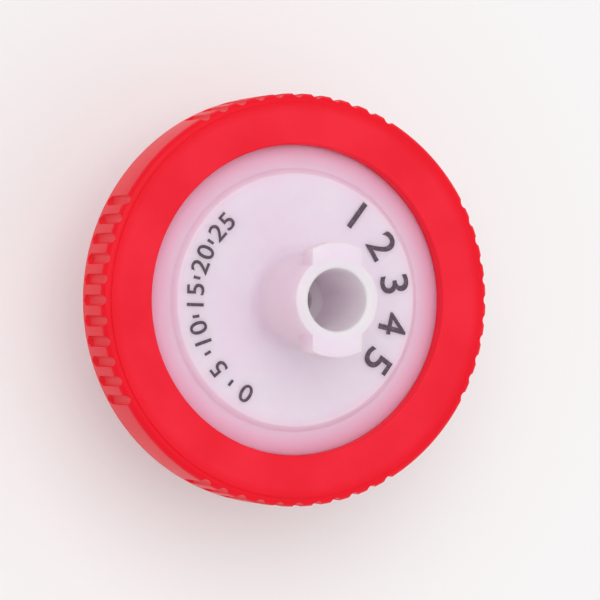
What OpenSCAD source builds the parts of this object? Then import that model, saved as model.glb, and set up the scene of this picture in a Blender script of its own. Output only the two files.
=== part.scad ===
// Syringe filter of the 25 mm class. Two housing shells clamp a membrane disc at its edge,
// and a ring moulded over their rim holds them together and gives the grip.
// The flow axis is Z: the inlet mouth is on top, and the outlet tip ends at the origin.

/* [Grip ring] */
// Outer diameter over the ribs
ring_d = 29; // [28:0.5:32]
// Height along the flow axis
ring_h = 5; // [4.8:0.1:6]
// Diameter of the window that the ring leaves open on each face
window_d = 21.8; // [20.5:0.1:22.6]
// Wall between the housing flange and the side of the ring
ring_wall = 1.3; // [1.1:0.1:1.5]
// Radius of the rounded outer edges
ring_edge_r = 0.5; // [0.3:0.05:0.7]
// Groups of grip ribs around the ring
rib_groups = 4; // [2:1:5]
// Grooves between the ribs of one group
grooves_per_group = 11; // [4:1:12]
// Angle from one groove to the next
groove_pitch = 5.7; // [4.5:0.1:6]
// Radius of a groove's round floor
groove_r = 0.4; // [0.35:0.05:0.55]
// Depth of a groove below the side of the ring
groove_depth = 0.3; // [0.2:0.02:0.4]
// Smooth lip that is left below the grooves, at the outlet face
lip_h = 0.7; // [0.6:0.05:1.2]

/* [Housing] */
// Depth of the flange faces below the ring's faces
face_recess = 1; // [0.7:0.05:1.1]
// Diameter of the raised centre of each face
centre_d = 17.7; // [16:0.1:19]
// Height of the raised centre over the flange face
centre_h = 0.4; // [0.2:0.05:0.6]
// Diameter of the round chamber over and under the membrane
chamber_d = 22.6; // [21:0.1:23]
// Wall of each shell over the chamber edge
shell_wall = 0.9; // [0.7:0.05:0.95]
// Slope of the chamber roof and floor towards the axis, as a rise over the whole radius
chamber_rise = 0.3; // [0.1:0.05:0.35]

/* [Membrane] */
// Diameter of the filter disc
membrane_d = 24.8; // [24:0.1:24.8]
// Thickness of the filter disc
membrane_t = 0.2; // [0.1:0.05:0.3]

/* [Luer fittings] */
// Taper of both Luer cones, in diameter over length
luer_taper = 0.06; // [0.05:0.005:0.07]
// Inlet: height of the mouth over the ring
inlet_h = 7; // [6.6:0.1:9]
// Inlet: diameter of the socket at its mouth
socket_d = 4.3; // [4.2:0.01:4.35]
// Inlet: depth of the tapered socket
socket_depth = 7.5; // [7:0.1:7.8]
// Inlet: outer diameter of the hub at its root
hub_root_d = 6.3; // [6.1:0.05:6.6]
// Inlet: outer diameter of the hub at its mouth
hub_mouth_d = 6; // [5.8:0.05:6.1]
// Inlet: distance across the two locking lugs
lug_span = 7.8; // [7.5:0.05:7.83]
// Inlet: width of a lug along the mouth
lug_w = 3.6; // [3:0.1:4]
// Inlet: height of a lug at its middle
lug_h = 1.7; // [1.4:0.1:2.2]
// Outlet: length of the nozzle below the ring
outlet_h = 9.4; // [9:0.1:11]
// Outlet: length of the tapered tip
tip_len = 7; // [6.8:0.1:7.2]
// Outlet: diameter of the tip at its end
tip_d = 4; // [3.93:0.01:4.03]
// Outlet: diameter of the collar behind the tip
collar_d = 4.9; // [4.8:0.05:5.4]
// Outlet: diameter of the flow bore at the tip's end
tip_bore_d = 1.9; // [1.6:0.1:2.2]

/* [Flow ribs] */
// Inlet: distribution ribs on the chamber roof
spoke_count = 12; // [6:1:16]
// Inlet: width of a distribution rib
spoke_w = 0.6; // [0.4:0.05:0.8]
// Outlet: circular ribs that carry the membrane
support_rings = 6; // [3:1:7]
// Outlet: width of a circular rib
support_w = 0.5; // [0.4:0.05:0.6]
// Outlet: radial drain channels through the circular ribs
drain_count = 8; // [4:1:10]
// Outlet: width of a drain channel
drain_w = 1; // [0.8:0.1:1.2]

/* [Hidden] */
$fn = 96;

ring_r = ring_d / 2;
half_h = ring_h / 2;
window_r = window_d / 2;
flange_r = ring_r - ring_wall;
flange_z = half_h - face_recess;
centre_r = centre_d / 2;
centre_z = flange_z + centre_h;
chamber_r = chamber_d / 2;
membrane_r = membrane_d / 2;
mid_z = outlet_h + half_h;

// Both shells, measured from the middle plane of the membrane
land_z = membrane_t / 2;           // faces that clamp the membrane
chamber_edge_z = flange_z - shell_wall;
chamber_axis_z = chamber_edge_z + chamber_rise;
centre_bevel = 0.4;                // sloping side of the raised centre
rim_r = membrane_r + 0.1;          // inside of the rim round the membrane
rim_z = 0.6;                       // top of that rim
spigot_r = rim_r - 0.05;           // the inlet shell's fit inside the rim
nozzle_fillet = 0.9;               // radius at the root of both nozzles
cut = 0.1;                         // how far a cutting solid runs past a face
sunk = 0.3;                        // how far a rib or lug is sunk into its wall

// Inlet
mouth_z = half_h + inlet_h;
socket_end_z = mouth_z - socket_depth;
socket_r = socket_d / 2;
socket_end_r = socket_r - socket_depth * luer_taper / 2;
hub_root_r = hub_root_d / 2;
hub_mouth_r = hub_mouth_d / 2;
throat_r = 1.1;
mouth_chamfer = 0.12;
lug_lead = 5;                      // axial lead of the locking thread, per turn
lug_flank = 25;                    // slope of the lug's underside towards the hub
lug_chamfer = 0.2;
spoke_gap = 0.2;                   // from a distribution rib to the membrane
spoke_from_r = 2.4;
spoke_to_r = chamber_r - 0.7;

// Outlet
tip_r = tip_d / 2;
tip_root_r = tip_r + tip_len * luer_taper / 2;
tip_chamfer = 0.15;
collar_r = collar_d / 2;
collar_chamfer = 0.12;
tip_bore_r = tip_bore_d / 2;
bore_top_r = tip_bore_r + 0.3;     // draft of the moulding's core pin
support_from_r = 2.6;
support_to_r = chamber_r - 0.6;
support_pitch = (support_to_r - support_from_r) / (support_rings - 1);

// Ring
window_edge = 0.2;                 // chamfer round the window
face_step = 0.12;                  // the ring's rounded border stands this much lower than its face
border_w = ring_edge_r + 0.13;     // width of that border
groove_runout = 0.5;               // sloping end of a groove above the lip
groove_tip_r = 0.05;
group_angle = (grooves_per_group - 1) * groove_pitch;

// Points on an arc round (r, z) from angle a to angle b, in the half plane of a revolve
function arc(r, z, radius, a, b, steps = 6) =
    [for (i = [0:steps]) let (t = a + (b - a) * i / steps) [r + radius * cos(t), z + radius * sin(t)]];

// The same points seen from the other side of the middle plane
function mirrored(points) = [for (i = [len(points) - 1:-1:0]) [points[i].x, -points[i].y]];

// Flange edge, window face and raised centre of a shell, from the edge in to the nozzle
function face_points(nozzle_r) = concat(
    [
        [flange_r, flange_z],
        [centre_r + centre_bevel, flange_z],
        [centre_r, centre_z]
    ],
    arc(nozzle_r + nozzle_fillet, centre_z + nozzle_fillet, nozzle_fillet, 270, 180)
);

// The inlet shell's section, from the throat round the chamber, the face and the hub
function inlet_section() = concat(
    [
        [throat_r, chamber_axis_z],
        [chamber_r, chamber_edge_z],
        [chamber_r, land_z],
        [spigot_r, land_z],
        [spigot_r, rim_z],
        [flange_r, rim_z]
    ],
    face_points(hub_root_r),
    [
        [hub_mouth_r, mouth_z - mouth_chamfer],
        [hub_mouth_r - mouth_chamfer, mouth_z],
        [socket_r + mouth_chamfer, mouth_z],
        [socket_r, mouth_z - mouth_chamfer],
        [socket_end_r, socket_end_z],
        [throat_r, socket_end_z]
    ]
);

// The outlet shell's section, drawn with its tip up: it is turned over when it is revolved
function outlet_section() = concat(
    [
        [bore_top_r, chamber_axis_z],
        [chamber_r, chamber_edge_z],
        [chamber_r, land_z],
        [rim_r, land_z],
        [rim_r, -rim_z],
        [flange_r, -rim_z]
    ],
    face_points(collar_r),
    [
        [collar_r, mid_z - tip_len - collar_chamfer],
        [collar_r - collar_chamfer, mid_z - tip_len],
        [tip_root_r, mid_z - tip_len],
        [tip_r, mid_z - tip_chamfer],
        [tip_r - tip_chamfer, mid_z],
        [tip_bore_r, mid_z]
    ]
);

// One face of the ring with its window edge, its low border and the rounded outer edge
function ring_face_points() = concat(
    [
        [window_r, flange_z],
        [window_r, half_h - window_edge],
        [window_r + window_edge, half_h],
        [ring_r - border_w, half_h],
        [ring_r - border_w, half_h - face_step]
    ],
    arc(ring_r - ring_edge_r, half_h - face_step - ring_edge_r, ring_edge_r, 90, 0)
);

// Revolves a section about the flow axis at the height of the membrane
module revolved(points) {
    translate([0, 0, mid_z])
        rotate_extrude()
            polygon(points);
}

// One of the two lugs, on the +X side. Its underside follows the locking thread
// and slopes towards the hub, as a turn of right-hand thread cut short.
module lug() {
    lug_r = lug_span / 2;
    helix_angle = atan(lug_lead / (2 * PI * lug_r));
    difference() {
        intersection() {
            translate([0, 0, mid_z + mouth_z - 2 * lug_h]) {
                cylinder(r = lug_r, h = 2 * lug_h - lug_chamfer);
                translate([0, 0, 2 * lug_h - lug_chamfer])
                    cylinder(r1 = lug_r, r2 = lug_r - lug_chamfer, h = lug_chamfer);
            }
            translate([0, -lug_w / 2, mid_z + mouth_z - 2 * lug_h])
                cube([lug_r, lug_w, 2 * lug_h]);
        }
        translate([0, 0, mid_z])
            cylinder(r = hub_mouth_r - sunk, h = mouth_z + cut);
        translate([lug_r, 0, mid_z + mouth_z - lug_h])
            rotate([helix_angle, 0, 0])
                rotate([0, -lug_flank, 0])
                    translate([-lug_r, -lug_w, -3 * lug_h])
                        cube([2 * lug_r, 2 * lug_w, 3 * lug_h]);
    }
}

// Ribs that spread the liquid over the membrane, on the roof of the inlet chamber
module distribution_ribs() {
    rib_z = mid_z + land_z + spoke_gap;
    rib_h = chamber_axis_z + sunk - land_z - spoke_gap;
    for (i = [0:spoke_count - 1])
        rotate([0, 0, i * 360 / spoke_count])
            translate([spoke_from_r, -spoke_w / 2, rib_z])
                cube([spoke_to_r - spoke_from_r, spoke_w, rib_h]);
}

// Circular ribs that carry the membrane, cut by the radial drain channels
module support_ribs() {
    rib_h = chamber_axis_z + sunk - land_z;
    difference() {
        for (i = [0:support_rings - 1])
            translate([0, 0, mid_z - chamber_axis_z - sunk])
                difference() {
                    cylinder(r = support_from_r + i * support_pitch, h = rib_h);
                    translate([0, 0, -cut])
                        cylinder(r = support_from_r + i * support_pitch - support_w, h = rib_h + 2 * cut);
                }
        for (i = [0:drain_count - 1])
            rotate([0, 0, i * 360 / drain_count])
                translate([0, -drain_w / 2, mid_z - chamber_axis_z - cut])
                    cube([chamber_r, drain_w, chamber_axis_z + cut]);
    }
}

module inlet_housing() {
    color([0.93, 0.92, 0.96])
        union() {
            revolved(inlet_section());
            for (turn = [0, 180])
                rotate([0, 0, turn])
                    lug();
            distribution_ribs();
        }
}

module outlet_housing() {
    color([0.93, 0.92, 0.96])
        union() {
            revolved(mirrored(outlet_section()));
            support_ribs();
        }
}

module membrane() {
    color([0.98, 0.98, 0.97])
        translate([0, 0, mid_z - membrane_t / 2])
            cylinder(r = membrane_r, h = membrane_t);
}

// A groove between two ribs: it runs out at the inlet face and slopes out above the lip
module groove() {
    floor_z = mid_z - half_h + lip_h;
    translate([ring_r + groove_r - groove_depth, 0, floor_z]) {
        cylinder(r1 = groove_tip_r, r2 = groove_r, h = groove_runout);
        translate([0, 0, groove_runout])
            cylinder(r = groove_r, h = ring_h);
    }
}

module grip_ring() {
    color([0.93, 0.09, 0.19])
        difference() {
            revolved(concat(ring_face_points(), mirrored(ring_face_points()), [
                [flange_r, -flange_z],
                [flange_r, flange_z]
            ]));
            for (group = [0:rib_groups - 1], i = [0:grooves_per_group - 1])
                rotate([0, 0, group * 360 / rib_groups - group_angle / 2 + i * groove_pitch])
                    groove();
        }
}

outlet_housing();
membrane();
inlet_housing();
grip_ring();
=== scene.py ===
"""Syringe filter of the 25 mm class on its outlet tip: shapes, finishes, print and studio.

Two milky polypropylene shells clamp a white membrane, and a red grip ring is moulded round
their rim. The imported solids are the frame. Each sub-assembly is shaped in millimetres, in the
frame's own place, and its last step makes it metres.
"""

import logging
import math
from contextlib import contextmanager
from dataclasses import dataclass
from enum import Enum
from typing import Dict, Iterable, Iterator, List, Optional, Sequence, Tuple, Union

import bmesh
import bpy
from mathutils import Matrix, Vector


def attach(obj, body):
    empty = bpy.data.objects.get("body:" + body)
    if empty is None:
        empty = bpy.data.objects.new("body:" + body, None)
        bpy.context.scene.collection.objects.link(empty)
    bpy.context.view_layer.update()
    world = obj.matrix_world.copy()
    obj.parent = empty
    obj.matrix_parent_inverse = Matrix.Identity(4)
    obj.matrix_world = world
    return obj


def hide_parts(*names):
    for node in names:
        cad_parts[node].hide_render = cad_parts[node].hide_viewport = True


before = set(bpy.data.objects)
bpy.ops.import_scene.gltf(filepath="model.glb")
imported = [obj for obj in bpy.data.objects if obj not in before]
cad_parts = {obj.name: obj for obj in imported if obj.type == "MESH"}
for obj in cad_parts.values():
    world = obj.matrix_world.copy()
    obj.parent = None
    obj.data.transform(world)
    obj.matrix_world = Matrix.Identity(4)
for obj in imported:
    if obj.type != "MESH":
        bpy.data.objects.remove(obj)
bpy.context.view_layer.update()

LOG = logging.getLogger("syringe_filter")
MM = 0.001
ROOT_BODY = "root"

FLAT = (1, 1, 0)  # what a vector is multiplied by to lose its height
CLOUD_DETAIL = 3.0  # finer layers in clouds, fibres and patches
MIX_SHARE, MIX_FIRST, MIX_SECOND, MIXED_COLOUR = 0, 6, 7, 2  # sockets of a Mix node set to colour

Colour = Tuple[float, float, float]
Span = Tuple[float, float]
Key = Union[int, str]


class Node(Enum):
    """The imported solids."""

    OUTLET = "outlet_housing"
    MEMBRANE = "membrane"
    INLET = "inlet_housing"
    RING = "grip_ring"


class Slot(Enum):
    """Names of material slots, passed along with the new pieces' finishes."""

    MILKY = "milky_polypropylene"
    RED = "red_polypropylene"
    INK = "printed_ink"


class Cut(Enum):
    """What one solid does to another."""

    ADD = "UNION"
    TAKE_AWAY = "DIFFERENCE"


# ---------------------------------------------------------------- shader graphs


class Value:
    """An output of a node. Arithmetic on it adds the Math nodes that work it out."""

    def __init__(self, graph: "Graph", node: bpy.types.Node, output: Key) -> None:
        """Stands for an output of a node.

        Args:
            graph: The graph that the node is in.
            node: The node.
            output: Number or name of the output.
        """
        self.graph = graph
        self.node = node
        self.output = output

    @property
    def socket(self) -> bpy.types.NodeSocket:
        """The output's socket."""
        return self.node.outputs[self.output]

    def other(self, output: Key) -> "Value":
        """Another output of the same node."""
        return Value(self.graph, self.node, output)

    def _math(self, operation: str, first: "Input", second: "Input") -> "Value":
        """A Math node on two operands."""
        return self.graph.add("ShaderNodeMath", {"operation": operation}, {0: first, 1: second})

    def __add__(self, other: "Input") -> "Value":
        """self + other."""
        return self._math("ADD", self, other)

    def __sub__(self, other: "Input") -> "Value":
        """self - other."""
        return self._math("SUBTRACT", self, other)

    def __rsub__(self, other: "Input") -> "Value":
        """other - self."""
        return self._math("SUBTRACT", other, self)

    def __mul__(self, other: "Input") -> "Value":
        """self * other."""
        return self._math("MULTIPLY", self, other)

    __radd__ = __add__
    __rmul__ = __mul__

    def between(self, low: float, high: float) -> "Value":
        """Maps the value so that low gives 0 and high gives 1, with soft ends.

        Args:
            low: The value that gives 0, as every lower one does.
            high: The value that gives 1, as every higher one does.

        Returns:
            The mapped value.
        """
        settings = {"clamp": True, "interpolation_type": "SMOOTHSTEP"}
        ends = {"Value": self, "From Min": low, "From Max": high}
        return self.graph.add("ShaderNodeMapRange", settings, ends)


Input = Union[Value, float, int, Sequence[float]]
Sockets = Dict[Key, Input]


class Graph:
    """A node tree in the making, of a material or the world."""

    def __init__(self, tree: bpy.types.NodeTree) -> None:
        """Takes over a tree and empties it."""
        self.tree = tree
        self.tree.nodes.clear()

    def add(
        self, kind: str, settings: Dict[str, object], sockets: Sockets, output: Key = 0
    ) -> Value:
        """Adds a node.

        Args:
            kind: The node's type name.
            settings: Its properties, set before its sockets.
            sockets: The value or link of each input, by name or number.
            output: The output that the result stands for.

        Returns:
            That output, for use in further expressions.
        """
        node = self.tree.nodes.new(kind)
        for name, setting in settings.items():
            setattr(node, name, setting)
        for key, given in sockets.items():
            if isinstance(given, Value):
                self.tree.links.new(given.socket, node.inputs[key])
            else:
                node.inputs[key].default_value = given
        return Value(self, node, output)

    def place(self) -> Value:
        """Object coordinates, in metres."""
        return self.add("ShaderNodeTexCoord", {}, {}, "Object")

    def axis_distance(self) -> Value:
        """Distance from the flow axis, in metres."""
        flat = self.add(
            "ShaderNodeVectorMath", {"operation": "MULTIPLY"}, {0: self.place(), 1: FLAT}
        )
        return self.add("ShaderNodeVectorMath", {"operation": "LENGTH"}, {0: flat}, "Value")

    def height(self) -> Value:
        """Height over the floor, in metres."""
        return self.add("ShaderNodeSeparateXYZ", {}, {"Vector": self.place()}, "Z")

    def noise(self, size: float, detail: float = 2.0) -> Value:
        """Noise from 0 to 1.

        Args:
            size: Size of its lumps, in metres.
            detail: Number of finer layers.

        Returns:
            The noise.
        """
        lumps = {"Vector": self.place(), "Scale": 1 / size, "Detail": detail}
        return self.add("ShaderNodeTexNoise", {}, lumps)

    def mix(self, share: Input, first: Union[Value, Colour], second: Union[Value, Colour]) -> Value:
        """Mixes two colours.

        Args:
            share: Share of the second colour, from 0 to 1.
            first: The first colour.
            second: The second colour.

        Returns:
            The mixed colour.
        """
        sockets: Sockets = {MIX_SHARE: share}
        for key, colour in ((MIX_FIRST, first), (MIX_SECOND, second)):
            sockets[key] = colour if isinstance(colour, Value) else (*colour, 1)
        return self.add("ShaderNodeMix", {"data_type": "RGBA"}, sockets, MIXED_COLOUR)

    def bump(self, height: Value, distance: float) -> Value:
        """A normal, from a height of 0 to 1 that stands for a distance in metres."""
        return self.add("ShaderNodeBump", {}, {"Height": height, "Distance": distance})


class Finish:
    """A surface finish. Its kinds say what the Principled shader's sockets get."""

    def sockets(self, graph: Graph) -> Sockets:
        """The values and links of the Principled shader's sockets."""
        raise NotImplementedError

    def material(self, name: str) -> bpy.types.Material:
        """Makes a material of the finish.

        Args:
            name: The material's name.

        Returns:
            The material.
        """
        material = bpy.data.materials.new(name)
        material.use_nodes = True
        graph = Graph(material.node_tree)
        shader = graph.add("ShaderNodeBsdfPrincipled", {}, self.sockets(graph))
        graph.add("ShaderNodeOutputMaterial", {}, {"Surface": shader})
        return material


# ---------------------------------------------------------------- finishes


@dataclass(frozen=True)
class MilkyPolypropylene(Finish):
    """Natural polypropylene: milky and translucent, with a satin skin and faint clouds.

    Attributes:
        colour: Colour of the clear parts.
        cloudy: Colour of the cloudier parts.
        socket: Paler colour inside the hub's bore: painted light, standing in for the light that
            comes through its thin wall into the shaded bore.
        blush: Painted red light close to the ring, standing in for the ring's red light that shines
            through the milky plastic.
        socket_r: Distances from the flow axis over which the socket's colour gives way.
        socket_z: Heights over which that painted light comes in.
        blush_r: Distances from the flow axis over which that painted red light comes in.
        cloud_band: The part of the noise that a cloud's edge takes.
        sheen: Roughness of the nozzles' skin.
        grain_frost: What the grain adds to it at most.
        face_frost: What the frosted faces add to it.
        index: Index of refraction.
        clear: Share of the light that goes through unscattered.
        depth: How far light spreads in the plastic.
    """

    colour: Colour = (1.0, 0.81, 0.945)
    cloudy: Colour = (0.985, 0.77, 0.915)
    # painted light: a paler colour in the hub's shaded bore
    socket: Colour = (1.0, 0.87, 0.96)
    # painted red light from the ring, near its edge
    blush: Colour = (1.0, 0.42, 0.60)
    socket_r: Span = (2.1 * MM, 3.0 * MM)
    socket_z: Span = (11.0 * MM, 13.0 * MM)
    blush_r: Span = (7.9 * MM, 11.2 * MM)
    cloud_size: float = 4.0 * MM
    cloud_band: Span = (0.35, 0.65)
    grain_size: float = 0.15 * MM
    grain_height: float = 0.005 * MM
    sheen: float = 0.29
    grain_frost: float = 0.06
    face_frost: float = 0.1
    index: float = 1.49
    clear: float = 0.12
    depth: float = 1.2 * MM

    def sockets(self, graph: Graph) -> Sockets:
        """Clouds, painted light in the socket, painted red light by the ring, frosted faces and a
        fine grain.

        Args:
            graph: The material's graph.

        Returns:
            The Principled shader's values and links.
        """
        cloud = graph.noise(self.cloud_size, CLOUD_DETAIL).between(*self.cloud_band)
        grain = graph.noise(self.grain_size)
        off_axis = graph.axis_distance()
        face = off_axis.between(*self.socket_r)
        # painted light: the hub's shaded bore gets the paler socket colour
        inside = (1 - face) * graph.height().between(*self.socket_z)
        plain = graph.mix(inside, graph.mix(cloud, self.colour, self.cloudy), self.socket)
        return {
            # painted red light from the ring comes in towards the ring's edge
            "Base Color": graph.mix(off_axis.between(*self.blush_r), plain, self.blush),
            "Roughness": self.sheen + self.grain_frost * grain + self.face_frost * face,
            "IOR": self.index,
            "Transmission Weight": self.clear,
            "Subsurface Weight": 1.0,
            "Subsurface Radius": (1.0, 1.0, 1.0),
            "Subsurface Scale": self.depth,
            "Normal": graph.bump(grain, self.grain_height),
        }


@dataclass(frozen=True)
class RedPolypropylene(Finish):
    """Pigmented polypropylene: a finely frosted face, painted paler and pinker as a sheen, and a
    deeper, smoother border and wall.

    Attributes:
        frosted: Colour of the frosted face, paler and pinker with painted sheen.
        colour: Colour of the border and the wall.
        deep: Colour of the pigment's faint clouds.
        cloud_share: Share of that colour at a cloud's middle.
        smooth_r: Distances from the flow axis over which the smooth skin comes in and the face's
            painted sheen gives way.
        cloud_band: The part of the noise that a cloud's edge takes.
        satin: Roughness of the smooth skin.
        grain_frost: What the grain adds to it at most.
        face_frost: What the frosted face adds to it.
        gloss: Strength of the reflections.
        glow: Share of the light that spreads in the plastic.
        glow_depth: How far red light spreads.
        glow_radius: How far each colour spreads, as a share of that.
    """

    # painted sheen: the frosted face's colour is paler and pinker than the border and wall
    frosted: Colour = (0.90, 0.018, 0.042)
    colour: Colour = (0.87, 0.004, 0.020)
    deep: Colour = (0.80, 0.003, 0.016)
    cloud_share: float = 0.5
    smooth_r: Span = (13.1 * MM, 13.9 * MM)
    cloud_size: float = 5.0 * MM
    cloud_band: Span = (0.3, 0.7)
    grain_size: float = 0.18 * MM
    grain_height: float = 0.006 * MM
    satin: float = 0.3
    grain_frost: float = 0.14
    face_frost: float = 0.1
    gloss: float = 0.14
    glow: float = 0.2
    glow_depth: float = 0.4 * MM
    glow_radius: Colour = (1.0, 0.1, 0.1)

    def sockets(self, graph: Graph) -> Sockets:
        """Faint clouds of pigment, the frosted face with its painted sheen, and a fine grain.

        Args:
            graph: The material's graph.

        Returns:
            The Principled shader's values and links.
        """
        cloud = graph.noise(self.cloud_size, CLOUD_DETAIL).between(*self.cloud_band)
        grain = graph.noise(self.grain_size)
        smooth = graph.axis_distance().between(*self.smooth_r)
        # painted sheen on the frosted face, deeper red towards the border and wall
        skin = graph.mix(smooth, self.frosted, self.colour)
        return {
            "Base Color": graph.mix(self.cloud_share * cloud, skin, self.deep),
            "Roughness": self.satin + self.grain_frost * grain + self.face_frost * (1 - smooth),
            "Specular IOR Level": self.gloss,
            "Subsurface Weight": self.glow,
            "Subsurface Radius": self.glow_radius,
            "Subsurface Scale": self.glow_depth,
            "Normal": graph.bump(grain, self.grain_height),
        }


@dataclass(frozen=True)
class FilterMembrane(Finish):
    """White filter membrane: matt, with a fine fibrous surface.

    Attributes:
        colour: Colour of the fibres.
        hollow: Colour between them.
        matt: Roughness between them.
        fibre_frost: What the fibres add to it at most.
    """

    colour: Colour = (0.93, 0.92, 0.93)
    hollow: Colour = (0.87, 0.86, 0.87)
    fibre_size: float = 0.09 * MM
    fibre_height: float = 0.012 * MM
    matt: float = 0.75
    fibre_frost: float = 0.2

    def sockets(self, graph: Graph) -> Sockets:
        """Fibres, in colour and height.

        Args:
            graph: The material's graph.

        Returns:
            The Principled shader's values and links.
        """
        fibre = graph.noise(self.fibre_size, CLOUD_DETAIL)
        return {
            "Base Color": graph.mix(fibre, self.hollow, self.colour),
            "Roughness": self.matt + self.fibre_frost * fibre,
            "Normal": graph.bump(fibre, self.fibre_height),
        }


@dataclass(frozen=True)
class PadInk(Finish):
    """Dark plum print, thinner in small patches.

    Attributes:
        colour: Colour of the full ink.
        thin: Colour of the thin patches.
        patch_band: The part of the noise that a patch's edge takes.
        satin: Roughness of the full ink.
        patch_frost: What a thin patch adds to it.
    """

    colour: Colour = (0.062, 0.030, 0.055)
    thin: Colour = (0.15, 0.09, 0.14)
    patch_size: float = 0.3 * MM
    patch_band: Span = (0.45, 0.75)
    satin: float = 0.45
    patch_frost: float = 0.15

    def sockets(self, graph: Graph) -> Sockets:
        """Patches of thinner ink.

        Args:
            graph: The material's graph.

        Returns:
            The Principled shader's values and links.
        """
        worn = graph.noise(self.patch_size, CLOUD_DETAIL).between(*self.patch_band)
        return {
            "Base Color": graph.mix(worn, self.colour, self.thin),
            "Roughness": self.satin + self.patch_frost * worn,
        }


@dataclass(frozen=True)
class PaleFloor(Finish):
    """Smooth pale floor.

    Attributes:
        colour: Its colour.
        shade: Colour of its faint clouds.
    """

    colour: Colour = (0.93, 0.93, 0.93)
    shade: Colour = (0.92, 0.92, 0.92)
    cloud_size: float = 0.2
    matt: float = 0.9
    gloss: float = 0.2

    def sockets(self, graph: Graph) -> Sockets:
        """A pale colour, all but even.

        Args:
            graph: The material's graph.

        Returns:
            The Principled shader's values and links.
        """
        return {
            "Base Color": graph.mix(graph.noise(self.cloud_size), self.colour, self.shade),
            "Roughness": self.matt,
            "Specular IOR Level": self.gloss,
        }


# ---------------------------------------------------------------- work on meshes


@dataclass(frozen=True)
class Corner:
    """A corner of a section, in millimetres.

    Attributes:
        r: Distance from the flow axis.
        z: Height.
        rounding: Radius of the corner, or 0 for a sharp one.
    """

    r: float
    z: float
    rounding: float = 0.0

    def point(self) -> Vector:
        """The corner in space, on the +X side."""
        return Vector((self.r, 0, self.z))


def deselect_all() -> None:
    """Deselects every object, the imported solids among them."""
    for thing in bpy.context.selected_objects:
        thing.select_set(False)


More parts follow.
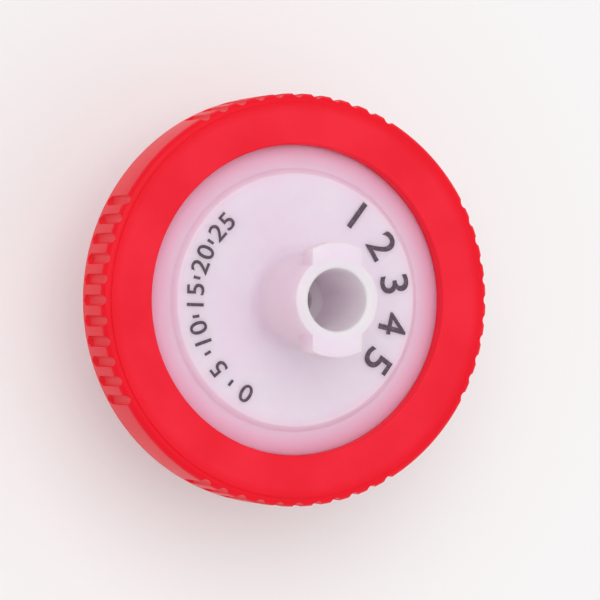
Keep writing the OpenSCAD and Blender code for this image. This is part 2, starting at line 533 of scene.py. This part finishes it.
class Workpiece:
    """A mesh in the making, in millimetres.

    Attributes:
        TOUCH: Distance below which two points are one.
        SPECK: Size below which an edge or a face is too small to keep.
        FULL_STEPS: Steps of a full turn.
        ARC_STEP: Turn of one step of a rounded corner.
        ARC_STEPS_MIN: Fewest steps of a rounded corner or edge.
        SHARP_ABOVE: Turn above which an edge is rounded.
        SMOOTH_BELOW: Turn below which two faces are shaded as one surface.
    """

    TOUCH = 1e-4
    SPECK = 1e-3
    FULL_STEPS = 240
    ARC_STEP = math.radians(11)
    ARC_STEPS_MIN = 2
    SHARP_ABOVE = math.radians(40)
    SMOOTH_BELOW = math.radians(32)

    def __init__(self, thing: bpy.types.Object) -> None:
        """Takes over an object."""
        self.thing = thing

    @classmethod
    def turned(cls, corners: Sequence[Corner], steps: int = FULL_STEPS) -> "Workpiece":
        """Draws a closed section from corner to corner, rounds its corners and spins it.

        Args:
            corners: The section's corners in order.
            steps: Number of steps of the full turn.

        Returns:
            The turned solid.
        """
        deselect_all()
        bpy.ops.mesh.primitive_plane_add(size=1)
        work = cls(bpy.context.object)
        bpy.ops.object.mode_set(mode="EDIT")
        bpy.ops.mesh.merge(type="CENTER")
        bpy.ops.transform.translate(value=corners[0].point())
        for before, corner in zip(corners, corners[1:]):
            step = corner.point() - before.point()
            bpy.ops.mesh.extrude_vertices_move(TRANSFORM_OT_translate={"value": step})
        work._select_points([corners[0].point(), corners[-1].point()])
        bpy.ops.mesh.edge_face_add()
        for index, corner in enumerate(corners):
            if corner.rounding:
                work._round(corners[index - 1], corner, corners[(index + 1) % len(corners)])
        bpy.ops.mesh.select_all(action="SELECT")
        bpy.ops.mesh.spin(steps=steps, angle=math.tau, center=(0, 0, 0), axis=(0, 0, 1))
        bpy.ops.mesh.select_all(action="SELECT")
        bpy.ops.mesh.remove_doubles(threshold=cls.TOUCH)
        bpy.ops.mesh.normals_make_consistent(inside=False)
        bpy.ops.object.mode_set(mode="OBJECT")
        return work

    @classmethod
    def cylinder(cls, radius: float, low: float, high: float) -> "Workpiece":
        """Adds an upright cylinder on the flow axis.

        Args:
            radius: Its radius.
            low: Height of its lower end.
            high: Height of its upper end.

        Returns:
            The cylinder.
        """
        deselect_all()
        middle = (0, 0, (low + high) / 2)
        bpy.ops.mesh.primitive_cylinder_add(
            vertices=cls.FULL_STEPS, radius=radius, depth=high - low, location=middle
        )
        return cls(bpy.context.object)._settled()

    @classmethod
    def box(cls, low: Sequence[float], high: Sequence[float]) -> "Workpiece":
        """Adds a box.

        Args:
            low: Its lowest corner.
            high: Its highest corner.

        Returns:
            The box.
        """
        deselect_all()
        low, high = Vector(low), Vector(high)
        bpy.ops.mesh.primitive_cube_add(size=1, location=(low + high) / 2, scale=high - low)
        return cls(bpy.context.object)._settled()

    def _activate(self) -> None:
        """Makes this the only selected object, and the active one."""
        deselect_all()
        self.thing.select_set(True)
        bpy.context.view_layer.objects.active = self.thing

    @contextmanager
    def _opened(self) -> Iterator[None]:
        """Opens the mesh in edit mode with everything selected, and closes it afterwards.

        Yields:
            Nothing, while the mesh is open.
        """
        self._activate()
        bpy.ops.object.mode_set(mode="EDIT")
        bpy.ops.mesh.select_all(action="SELECT")
        yield
        bpy.ops.object.mode_set(mode="OBJECT")

    def _settled(self) -> "Workpiece":
        """Moves the object's place and size into its mesh.

        Returns:
            This workpiece.
        """
        bpy.context.view_layer.update()
        self.thing.data.transform(self.thing.matrix_world)
        self.thing.matrix_world = Matrix.Identity(4)
        return self

    def _select_points(self, points: Sequence[Vector]) -> None:
        """Selects the vertices at some points, in edit mode.

        Args:
            points: The points.
        """
        bpy.ops.mesh.select_all(action="DESELECT")
        mesh = bmesh.from_edit_mesh(self.thing.data)
        for vertex in mesh.verts:
            if any((vertex.co - point).length < self.TOUCH for point in points):
                vertex.select = True
        mesh.select_flush(True)
        bmesh.update_edit_mesh(self.thing.data)

    def _round(self, before: Corner, corner: Corner, after: Corner) -> None:
        """Rounds one corner of the section, in edit mode.

        Args:
            before: The corner before it.
            corner: The corner that is rounded.
            after: The corner after it.
        """
        turn = (corner.point() - before.point()).angle(after.point() - corner.point())
        self._select_points([corner.point()])
        bpy.ops.mesh.bevel(
            offset=corner.rounding * math.tan(turn / 2),
            offset_type="OFFSET",
            segments=max(self.ARC_STEPS_MIN, round(turn / self.ARC_STEP)),
            affect="VERTICES",
            clamp_overlap=False,
        )

    def _apply(self, kind: str, **settings: object) -> None:
        """Adds a modifier and applies it.

        Args:
            kind: The modifier's type.
            **settings: Its settings.
        """
        modifier = self.thing.modifiers.new(kind.lower(), kind)
        for name, setting in settings.items():
            setattr(modifier, name, setting)
        self._activate()
        bpy.ops.object.modifier_apply(modifier=modifier.name)

    def moved(self, place: Matrix) -> "Workpiece":
        """Moves, turns or scales the mesh."""
        self.thing.data.transform(place)
        return self

    def sliced(self, point: Sequence[float], normal: Sequence[float]) -> "Workpiece":
        """Cuts off one side of a plane and closes the cut.

        Args:
            point: A point of the plane.
            normal: Direction to the side that goes.

        Returns:
            This workpiece.
        """
        with self._opened():
            bpy.ops.mesh.bisect(plane_co=point, plane_no=normal, use_fill=True, clear_outer=True)
        return self

    def around(self, angles_deg: Iterable[float]) -> "Workpiece":
        """Repeats the workpiece about the flow axis, each copy with its own mesh, and joins them.

        Args:
            angles_deg: The angle of each copy, which replace the original.

        Returns:
            The copies as one workpiece.
        """
        copies = []
        for angle in angles_deg:
            twin = self.thing.copy()
            twin.data = self.thing.data.copy()
            bpy.context.scene.collection.objects.link(twin)
            copies.append(Workpiece(twin).moved(Matrix.Rotation(math.radians(angle), 4, "Z")))
        bpy.data.objects.remove(self.thing)
        return copies[0].joined(copies[1:])

    def joined(self, others: Iterable["Workpiece"]) -> "Workpiece":
        """Takes the meshes of other workpieces into this one as they are.

        Args:
            others: The other workpieces, which are used up.

        Returns:
            This workpiece.
        """
        self._activate()
        for other in others:
            other.thing.select_set(True)
        bpy.ops.object.join()
        return self

    def combined(self, tool: "Workpiece", cut: Cut) -> "Workpiece":
        """Adds another solid to this one, or takes it away.

        Args:
            tool: The other solid, which is used up.
            cut: What it does.

        Returns:
            This workpiece.
        """
        self._apply("BOOLEAN", object=tool.thing, operation=cut.value, solver="EXACT")
        bpy.data.objects.remove(tool.thing)
        return self

    def cleaned(self, speck: float = SPECK) -> "Workpiece":
        """Merges points that all but touch and drops edges and faces of no size.

        Args:
            speck: Size below which they go.

        Returns:
            This workpiece.
        """
        with self._opened():
            bpy.ops.mesh.remove_doubles(threshold=speck)
            bpy.ops.mesh.dissolve_degenerate(threshold=speck)
        return self

    def fattened(self, width: float) -> "Workpiece":
        """Moves every face outwards.

        Args:
            width: How far.

        Returns:
            This workpiece.
        """
        with self._opened():
            bpy.ops.mesh.normals_make_consistent(inside=False)
            bpy.ops.transform.shrink_fatten(value=width, use_even_offset=True)
        return self

    def softened(self, width: float) -> "Workpiece":
        """Rounds the sharp edges.

        Args:
            width: Width of the rounding on each side of an edge.

        Returns:
            This workpiece.
        """
        sharp = {"limit_method": "ANGLE", "angle_limit": self.SHARP_ABOVE}
        self._apply("BEVEL", width=width, segments=self.ARC_STEPS_MIN, **sharp)
        return self

    def finished(self, name: str, material: bpy.types.Material, slot: Slot) -> bpy.types.Object:
        """Makes the workpiece a piece of the filter, in metres.

        Args:
            name: The piece's name.
            material: Its finish.
            slot: The slot for that finish; not used.

        Returns:
            The piece, riding on the filter's only body.
        """
        self.cleaned()
        bpy.ops.object.shade_smooth_by_angle(angle=self.SMOOTH_BELOW)
        piece = self.moved(Matrix.Scale(MM, 4)).thing
        piece.name = name
        piece.data.name = name
        piece.data.materials.clear()
        piece.data.materials.append(material)
        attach(piece, ROOT_BODY)
        LOG.info("%s: %d faces", name, len(piece.data.polygons))
        return piece


# ---------------------------------------------------------------- sub-assemblies


@dataclass(frozen=True)
class Levels:
    """Sizes that the sub-assemblies share, in millimetres. Heights run from the middle plane.

    Attributes:
        middle: Height of the membrane's middle plane over the tip's end.
        taper: Change of a fitting's diameter per height.
        rib_sunk: How far a rib is sunk into its wall.
        past: How far a cutter goes past what it cuts.
    """

    middle: float = 11.9
    ring_half: float = 2.5
    recess: float = 1.0
    flange_r: float = 13.2
    window_r: float = 10.9
    rim_z: float = 0.6
    centre_r: float = 8.85
    centre_h: float = 0.4
    centre_bevel: float = 0.4
    centre_edge: float = 0.15
    chamber_r: float = 11.3
    chamber_corner: float = 0.2
    shell_wall: float = 0.9
    chamber_rise: float = 0.3
    membrane_half: float = 0.1
    nozzle_fillet: float = 0.9
    taper: float = 0.06
    rib_sunk: float = 0.3
    past: float = 1.0

    @property
    def flange_z(self) -> float:
        """Flange face."""
        return self.ring_half - self.recess

    @property
    def centre_z(self) -> float:
        """Raised centre of a face."""
        return self.flange_z + self.centre_h

    @property
    def chamber_edge_z(self) -> float:
        """Chamber roof at its edge."""
        return self.flange_z - self.shell_wall

    @property
    def chamber_axis_z(self) -> float:
        """Chamber roof at the throat."""
        return self.chamber_edge_z + self.chamber_rise

    def face(self, side: int, nozzle_r: float) -> List[Corner]:
        """A shell's face from the flange's edge in to the nozzle.

        Args:
            side: 1 for the inlet side and -1 for the outlet side.
            nozzle_r: Radius of the nozzle's root.

        Returns:
            The corners of the face.
        """
        flange = self.middle + side * self.flange_z
        centre = self.middle + side * self.centre_z
        return [
            Corner(self.flange_r, flange),
            Corner(self.centre_r + self.centre_bevel, flange, self.centre_edge),
            Corner(self.centre_r, centre, self.centre_edge),
            Corner(nozzle_r, centre, self.nozzle_fillet),
        ]


LEVELS = Levels()


@dataclass
class GripRing:
    """The ring moulded round the rim, with its groups of grip ribs. Sizes in millimetres.

    Attributes:
        edge_r: Rounding between the border and the wall.
        border_w: Width of the border, which lies a step below the face.
        face_step: Depth of that step.
        groove_r: Radius of a groove, whose axis stands outside the wall.
        groove_tip_r: Radius of a groove's tip, where it has sloped out of the wall.
        groove_runout: Height over which it slopes out.
        lip_h: Height of the plain lip under the grooves.
        rib_edge: Width of the roundings on the ribs.
        steps: Steps of the ring's full turn.
        groove_steps: Steps of a groove's full turn.
        bite: How far the ring reaches into the flange, so that no gap shows between them.
    """

    outer_r: float = 14.5
    edge_r: float = 0.5
    border_w: float = 0.63
    border_edge: float = 0.04
    face_step: float = 0.12
    window_edge: float = 0.2
    groups: int = 4
    grooves_per_group: int = 11
    groove_pitch_deg: float = 5.7
    groove_r: float = 0.4
    groove_depth: float = 0.3
    groove_tip_r: float = 0.05
    groove_runout: float = 0.5
    groove_corner: float = 0.3
    lip_h: float = 0.7
    rib_edge: float = 0.08
    steps: int = 360
    groove_steps: int = 28
    bite: float = 0.01

    def half_section(self, side: int) -> List[Corner]:
        """One half of the ring's section, from the flange over the face to the outer edge.

        Args:
            side: 1 for the inlet side and -1 for the outlet side.

        Returns:
            The corners of that half.
        """
        flange = LEVELS.middle + side * (LEVELS.flange_z - self.bite)
        face = LEVELS.middle + side * LEVELS.ring_half
        border = face - side * self.face_step
        border_r = self.outer_r - self.border_w
        return [
            Corner(LEVELS.flange_r - self.bite, flange),
            Corner(LEVELS.window_r, flange),
            Corner(LEVELS.window_r, face, self.window_edge),
            Corner(border_r, face, self.border_edge),
            Corner(border_r, border, self.border_edge),
            Corner(self.outer_r, border, self.edge_r),
        ]

    def groove(self) -> Workpiece:
        """One groove's cutter on the +X side: it slopes out above the lip and passes the face.

        Returns:
            The cutter.
        """
        floor_z = LEVELS.middle - LEVELS.ring_half + self.lip_h
        top_z = floor_z + 2 * LEVELS.ring_half
        outline = [
            Corner(0.0, floor_z),
            Corner(self.groove_tip_r, floor_z),
            Corner(self.groove_r, floor_z + self.groove_runout, self.groove_corner),
            Corner(self.groove_r, top_z),
            Corner(0.0, top_z),
        ]
        reach = self.outer_r + self.groove_r - self.groove_depth
        return Workpiece.turned(outline, self.groove_steps).moved(Matrix.Translation((reach, 0, 0)))

    def groove_angles(self) -> List[float]:
        """Sets out the grooves in their groups.

        Returns:
            The direction of every groove, in degrees from +X.
        """
        first = -(self.grooves_per_group - 1) * self.groove_pitch_deg / 2
        return [
            group * 360 / self.groups + first + index * self.groove_pitch_deg
            for group in range(self.groups)
            for index in range(self.grooves_per_group)
        ]

    def build(self, material: bpy.types.Material) -> None:
        """Turns the ring, cuts its grooves, rounds its ribs and dresses it.

        Args:
            material: The ring's finish.
        """
        section = self.half_section(1) + self.half_section(-1)[::-1]
        ring = Workpiece.turned(section, self.steps)
        ring.combined(self.groove().around(self.groove_angles()), Cut.TAKE_AWAY)
        piece = ring.softened(self.rib_edge).finished("ribbed_grip_ring", material, Slot.RED)
        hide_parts(Node.RING.value)


@dataclass
class InletShell:
    """Upper shell with the locking hub. Sizes in millimetres.

    Attributes:
        spigot_r: Radius of the part that presses on the membrane's edge.
        hub_h: Height of the hub's mouth over the ring's face.
        lug_span: Distance over both lugs.
        lug_h: Height of a lug at its outer end.
        lug_sunk: How far a lug is sunk into the hub.
        lug_lead: Height that the lugs' thread climbs in a full turn.
        lug_flank_deg: Slope of a lug's underside towards the hub.
        spoke_gap: Gap between the distribution ribs and the membrane.
    """

    spigot_r: float = 12.45
    throat_r: float = 1.1
    hub_h: float = 7.0
    hub_root_r: float = 3.15
    hub_mouth_r: float = 3.0
    mouth_edge: float = 0.16
    socket_r: float = 2.15
    socket_depth: float = 7.5
    socket_corner: float = 0.15
    lug_span: float = 7.8
    lug_w: float = 3.6
    lug_h: float = 1.7
    lug_sunk: float = 0.3
    lug_lead: float = 5.0
    lug_flank_deg: float = 25.0
    lug_edge: float = 0.16
    spoke_count: int = 12
    spoke_w: float = 0.6
    spoke_from_r: float = 2.4
    spoke_to_r: float = 10.6
    spoke_gap: float = 0.2

    @property
    def mouth_z(self) -> float:
        """Height of the hub's mouth over the tip's end."""
        return LEVELS.middle + LEVELS.ring_half + self.hub_h

    def section(self) -> List[Corner]:
        """Draws the shell's section, from the throat round the chamber, the face and the hub.

        Returns:
            Its corners.
        """
        level, mid = LEVELS, LEVELS.middle
        end_r = self.socket_r - self.socket_depth * level.taper / 2
        end_z = self.mouth_z - self.socket_depth
        return [
            Corner(self.throat_r, mid + level.chamber_axis_z),
            Corner(level.chamber_r, mid + level.chamber_edge_z, level.chamber_corner),
            Corner(level.chamber_r, mid + level.membrane_half),
            Corner(self.spigot_r, mid + level.membrane_half),
            Corner(self.spigot_r, mid + level.rim_z),
            Corner(level.flange_r, mid + level.rim_z),
            *level.face(1, self.hub_root_r),
            Corner(self.hub_mouth_r, self.mouth_z, self.mouth_edge),
            Corner(self.socket_r, self.mouth_z, self.mouth_edge),
            Corner(end_r, end_z, self.socket_corner),
            Corner(self.throat_r, end_z),
        ]

    def lug(self) -> Workpiece:
        """Shapes the +X lug, whose underside follows the thread and slopes towards the hub.

        Returns:
            The lug.
        """
        outer, half = self.lug_span / 2, self.lug_w / 2
        low = self.mouth_z - 2 * self.lug_h
        down = Vector((0, 0, -1))
        down.rotate(Matrix.Rotation(-math.radians(self.lug_flank_deg), 3, "Y"))
        down.rotate(Matrix.Rotation(math.atan(self.lug_lead / (math.tau * outer)), 3, "X"))
        lug = Workpiece.cylinder(outer, low, self.mouth_z)
        lug.sliced((0, 0, 0), (-1, 0, 0))
        lug.sliced((0, half, 0), (0, 1, 0)).sliced((0, -half, 0), (0, -1, 0))
        lug.sliced((outer, 0, self.mouth_z - self.lug_h), down)
        core_r = self.hub_mouth_r - self.lug_sunk
        core = Workpiece.cylinder(core_r, low - LEVELS.past, self.mouth_z + LEVELS.past)
        return lug.combined(core, Cut.TAKE_AWAY).softened(self.lug_edge)

    def spoke(self) -> Workpiece:
        """Shapes the +X distribution rib on the chamber roof.

        Returns:
            The rib.
        """
        low = LEVELS.middle + LEVELS.membrane_half + self.spoke_gap
        high = LEVELS.middle + LEVELS.chamber_axis_z + LEVELS.rib_sunk
        half = self.spoke_w / 2
        return Workpiece.box((self.spoke_from_r, -half, low), (self.spoke_to_r, half, high))

    def build(self, material: bpy.types.Material) -> None:
        """Turns the shell, adds its lugs and ribs and dresses it.

        Args:
            material: The shell's finish.
        """
        shell = Workpiece.turned(self.section())
        shell.combined(self.lug().around((0, 180)), Cut.ADD)
        step = 360 / self.spoke_count
        shell.combined(self.spoke().around(i * step for i in range(self.spoke_count)), Cut.ADD)
        piece = shell.finished("inlet_shell_with_hub", material, Slot.MILKY)
        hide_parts(Node.INLET.value)


@dataclass
class OutletShell:
    """Lower shell with the slip tip. Sizes in millimetres.

    Attributes:
        rim_r: Inner radius of the rim that takes the inlet shell.
        bore_top_r: Radius of the bore where it leaves the chamber.
        tip_r: Radius of the tip's end.
    """

    rim_r: float = 12.5
    bore_r: float = 0.95
    bore_top_r: float = 1.25
    bore_edge: float = 0.1
    collar_r: float = 2.45
    collar_edge: float = 0.14
    tip_len: float = 7.0
    tip_r: float = 2.0
    tip_edge: float = 0.2
    tip_root_corner: float = 0.05
    support_rings: int = 6
    support_from_r: float = 2.6
    support_to_r: float = 10.7
    support_w: float = 0.5
    drain_count: int = 8
    drain_w: float = 1.0
    drain_from_r: float = 1.5

    def section(self) -> List[Corner]:
        """Draws the shell's section, from the chamber round the rim, face and tip to the bore.

        Returns:
            Its corners.
        """
        level, mid = LEVELS, LEVELS.middle
        return [
            Corner(self.bore_top_r, mid - level.chamber_axis_z, level.chamber_corner),
            Corner(level.chamber_r, mid - level.chamber_edge_z, level.chamber_corner),
            Corner(level.chamber_r, mid - level.membrane_half),
            Corner(self.rim_r, mid - level.membrane_half),
            Corner(self.rim_r, mid + level.rim_z),
            Corner(level.flange_r, mid + level.rim_z),
            *level.face(-1, self.collar_r),
            Corner(self.collar_r, self.tip_len, self.collar_edge),
            Corner(self.tip_r + self.tip_len * level.taper / 2, self.tip_len, self.tip_root_corner),
            Corner(self.tip_r, 0.0, self.tip_edge),
            Corner(self.bore_r, 0.0, self.bore_edge),
        ]

    def supports(self) -> Workpiece:
        """Shapes the circular ribs that carry the membrane, cut by the drain channels.

        Returns:
            The ribs as one workpiece.
        """
        low = LEVELS.middle - LEVELS.chamber_axis_z - LEVELS.rib_sunk
        high = LEVELS.middle - LEVELS.membrane_half
        pitch = (self.support_to_r - self.support_from_r) / (self.support_rings - 1)
        rings = []
        for index in range(self.support_rings):
            outer = self.support_from_r + index * pitch
            inner = outer - self.support_w
            outline = [
                Corner(inner, low),
                Corner(outer, low),
                Corner(outer, high),
                Corner(inner, high),
            ]
            rings.append(Workpiece.turned(outline))
        half = self.drain_w / 2
        floor = LEVELS.middle - LEVELS.chamber_axis_z
        over = high + LEVELS.past
        drain = Workpiece.box((self.drain_from_r, -half, floor), (LEVELS.chamber_r, half, over))
        drains = drain.around(index * 360 / self.drain_count for index in range(self.drain_count))
        return rings[0].joined(rings[1:]).combined(drains, Cut.TAKE_AWAY)

    def build(self, material: bpy.types.Material) -> None:
        """Turns the shell, adds the ribs under the membrane and dresses it.

        Args:
            material: The shell's finish.
        """
        shell = Workpiece.turned(self.section()).combined(self.supports(), Cut.ADD)
        piece = shell.finished("outlet_shell_with_tip", material, Slot.MILKY)
        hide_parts(Node.OUTLET.value)


@dataclass
class MembraneDisc:
    """The clamped membrane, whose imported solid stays."""

    def dress(self, material: bpy.types.Material) -> None:
        """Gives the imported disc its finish.

        Args:
            material: The disc's finish.
        """
        name = Node.MEMBRANE.value
        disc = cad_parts[name]
        disc.data.materials.clear()
        disc.data.materials.append(material)
        LOG.info("%s: %d faces", name, len(disc.data.polygons))


# ---------------------------------------------------------------- print


@dataclass(frozen=True)
class Row:
    """Plain numbers on a circle about the flow axis, read clockwise with their heads outwards.

    Attributes:
        TICK: The text of a mark that is a bar.
        numbers: The numbers in their order.
        middle_deg: Direction of the row's middle, counterclockwise from +X.
        pitch_deg: Angle from mark to mark.
        radius: Radius of the marks' middles, in millimetres.
        height: Height of a numeral, in millimetres.
        bar: Width and height of the bar between two numbers, in millimetres, if there is one.
    """

    TICK = "|"

    numbers: Sequence[int]
    middle_deg: float
    pitch_deg: float
    radius: float
    height: float
    bar: Optional[Tuple[float, float]] = None

    def marks(self) -> List[Tuple[str, float]]:
        """Sets out the row's marks.

        Returns:
            The text of each mark and its direction, in degrees from +X.
        """
        gap = f" {self.TICK} " if self.bar else " "
        texts = gap.join(str(number) for number in self.numbers).split()
        middle = (len(texts) - 1) / 2
        return [
            (text, self.middle_deg - (index - middle) * self.pitch_deg)
            for index, text in enumerate(texts)
        ]


@dataclass
class FacePrint:
    """Print on the raised centre of the inlet face, a large and a small dial. Sizes in millimetres.

    Attributes:
        thickness: Height of the print over the face.
        sunk: How far it reaches into the face.
        cap_share: Height of a numeral as a share of the type's nominal size.
        stretch: Widening of the numerals.
        spacing: Step from numeral to numeral in a number, as a share of the type's own.
        weight: Thickening of each side of their strokes, as a share of their height.
        nick: Size below which a corner of their outline goes, as a share of their height.
        block: Half the height of the block from which a numeral's slice is cut.
    """

    thickness: float = 0.015
    sunk: float = 0.01
    cap_share: float = 0.73
    stretch: float = 1.1
    spacing: float = 1.1
    weight: float = 0.012
    nick: float = 0.008
    block: float = 1.0
    large: Row = Row(range(1, 6), middle_deg=98.6, pitch_deg=22.0, radius=7.6, height=2.2)
    small: Row = Row(
        range(0, 26, 5), middle_deg=278.6, pitch_deg=10.2, radius=7.6, height=1.3, bar=(0.2, 0.5)
    )

    def numeral(self, text: str, height: float) -> Workpiece:
        """Sets a number as a thin slice of a thickened block, with its middle at the origin.

        Args:
            text: The number.
            height: Height of its numerals.

        Returns:
            The number.
        """
        deselect_all()
        bpy.ops.object.text_add(location=(0, 0, 0))
        type_matter = bpy.context.object.data
        type_matter.body = text
        type_matter.align_x = "CENTER"
        type_matter.size = height / self.cap_share
        type_matter.space_character = self.spacing
        type_matter.extrude = self.block
        bpy.ops.object.convert(target="MESH")
        number = Workpiece(bpy.context.object).cleaned(self.nick * height)
        number.fattened(self.weight * height)
        number.sliced((0, 0, self.thickness), (0, 0, 1)).sliced((0, 0, -self.sunk), (0, 0, -1))
        centred = Matrix.Translation((0, -height / 2, 0))
        return number.moved(Matrix.Scale(self.stretch, 4, (1, 0, 0)) @ centred)

    def bar(self, width: float, height: float) -> Workpiece:
        """A plain bar as a thin solid with its middle at the origin."""
        half_w, half_h = width / 2, height / 2
        return Workpiece.box((-half_w, -half_h, -self.sunk), (half_w, half_h, self.thickness))

    def row(self, row: Row) -> Workpiece:
        """Makes one row in its place.

        Args:
            row: What it shows and where.

        Returns:
            The row as one workpiece.
        """
        printed = []
        for text, direction in row.marks():
            mark = self.bar(*row.bar) if text == row.TICK else self.numeral(text, row.height)
            turn = Matrix.Rotation(math.radians(direction - 90), 4, "Z")
            out = Matrix.Translation((0, row.radius, LEVELS.middle + LEVELS.centre_z))
            printed.append(mark.moved(turn @ out))
        return printed[0].joined(printed[1:])

    def build(self, material: bpy.types.Material) -> None:
        """Makes both rows and dresses them.

        Args:
            material: The print's finish.
        """
        self.row(self.large).finished("printed_numbers", material, Slot.INK)
        self.row(self.small).finished("printed_scale", material, Slot.INK)


# ---------------------------------------------------------------- studio


@dataclass(frozen=True)
class Lamp:
    """A far soft lamp.

    Attributes:
        name: Its name.
        source: Direction from the filter to it.
        level: Brightness that it alone gives a white surface that faces it.
        spread_deg: Angle that it fills in the sky.
    """

    name: str
    source: Tuple[float, float, float]
    level: float
    spread_deg: float


@dataclass
class Studio:
    """Pale floor, pale sky, soft lamps and the camera.

    Attributes:
        target: The point that the camera looks at, in metres.
        tilt_deg: Angle between the flow axis and the line of sight.
        view_width: Width of what the camera shows at the target, in metres.
        lens: Focal length, in millimetres.
        sensor_width: Width of the camera's sensor, in millimetres.
        clip_margin: How many times nearer and farther the camera sees than it has to.
        sky_level: Brightness of the sky as a light.
        seen_level: Brightness of the sky where it is seen.
    """

    target: Vector
    tilt_deg: float = 21.5
    view_width: float = 42 * MM
    lens: float = 200.0
    sensor_width: float = 36.0
    clip_margin: float = 10.0
    sky_level: float = 0.62
    seen_level: float = 0.97
    floor_size: float = 6.0
    lamps: Tuple[Lamp, ...] = (
        Lamp("key", source=(-0.3, -0.2, 0.93), level=0.33, spread_deg=50.0),
        Lamp("fill", source=(0.3, 0.6, 0.75), level=0.1, spread_deg=80.0),
    )

    def floor(self) -> None:
        """Lays a wide pale floor under the tip."""
        deselect_all()
        bpy.ops.mesh.primitive_plane_add(size=self.floor_size)
        floor = bpy.context.object
        floor.name = "floor"
        floor.data.materials.append(PaleFloor().material("pale_floor"))

    def sky(self) -> None:
        """Makes a pale sky, all but white where it is seen and softer as a light."""
        world = bpy.data.worlds.new("studio_sky")
        world.use_nodes = True
        graph = Graph(world.node_tree)
        ray = graph.add("ShaderNodeLightPath", {}, {}, "Is Camera Ray")
        mirrored, refracted = ray.other("Is Glossy Ray"), ray.other("Is Transmission Ray")
        seen = (ray + mirrored + refracted).between(0.0, 1.0)
        strength = self.sky_level + (self.seen_level - self.sky_level) * seen
        light = graph.add("ShaderNodeBackground", {}, {"Color": (1, 1, 1, 1), "Strength": strength})
        graph.add("ShaderNodeOutputWorld", {}, {"Surface": light})
        bpy.context.scene.world = world

    def light(self, lamp: Lamp) -> None:
        """Hangs one lamp.

        Args:
            lamp: The lamp.
        """
        data = bpy.data.lights.new(lamp.name, "SUN")
        data.energy = lamp.level * math.pi
        data.angle = math.radians(lamp.spread_deg)
        thing = bpy.data.objects.new(lamp.name, data)
        bpy.context.scene.collection.objects.link(thing)
        thing.rotation_mode = "QUATERNION"
        thing.rotation_quaternion = Vector(lamp.source).to_track_quat("Z", "Y")

    def camera(self) -> None:
        """Sets up the camera, towards which and to whose right the flow axis leans."""
        tilt = math.radians(self.tilt_deg)
        back = Vector((0, -math.sin(tilt), math.cos(tilt)))
        right = Vector((0, math.cos(tilt), math.sin(tilt)))
        turn = Matrix((right, back.cross(right), back)).transposed().to_4x4()
        distance = self.view_width / self.sensor_width * self.lens
        data = bpy.data.cameras.new("camera")
        data.lens = self.lens
        data.sensor_width = self.sensor_width
        data.clip_start = distance / self.clip_margin
        data.clip_end = self.floor_size * self.clip_margin
        camera = bpy.data.objects.new("camera", data)
        bpy.context.scene.collection.objects.link(camera)
        camera.matrix_world = Matrix.Translation(self.target + back * distance) @ turn
        bpy.context.scene.camera = camera

    def build(self) -> None:
        """Makes the floor, the sky, the lamps and the camera."""
        self.floor()
        self.sky()
        for lamp in self.lamps:
            self.light(lamp)
        self.camera()
        bpy.context.scene.view_settings.view_transform = "Standard"
        LOG.info("studio: %d lamps", len(self.lamps))


# ---------------------------------------------------------------- making


def main() -> None:
    """Builds the filter from the tip up, prints its face and sets up the studio."""
    logging.basicConfig(level=logging.INFO)
    milky = MilkyPolypropylene().material("milky_polypropylene")
    OutletShell().build(milky)
    MembraneDisc().dress(FilterMembrane().material("filter_membrane"))
    InletShell().build(milky)
    GripRing().build(RedPolypropylene().material("red_polypropylene"))
    FacePrint().build(PadInk().material("printed_ink"))
    Studio(target=Vector((0, 0, (LEVELS.middle + LEVELS.ring_half) * MM))).build()


if __name__ == "__main__":
    main()
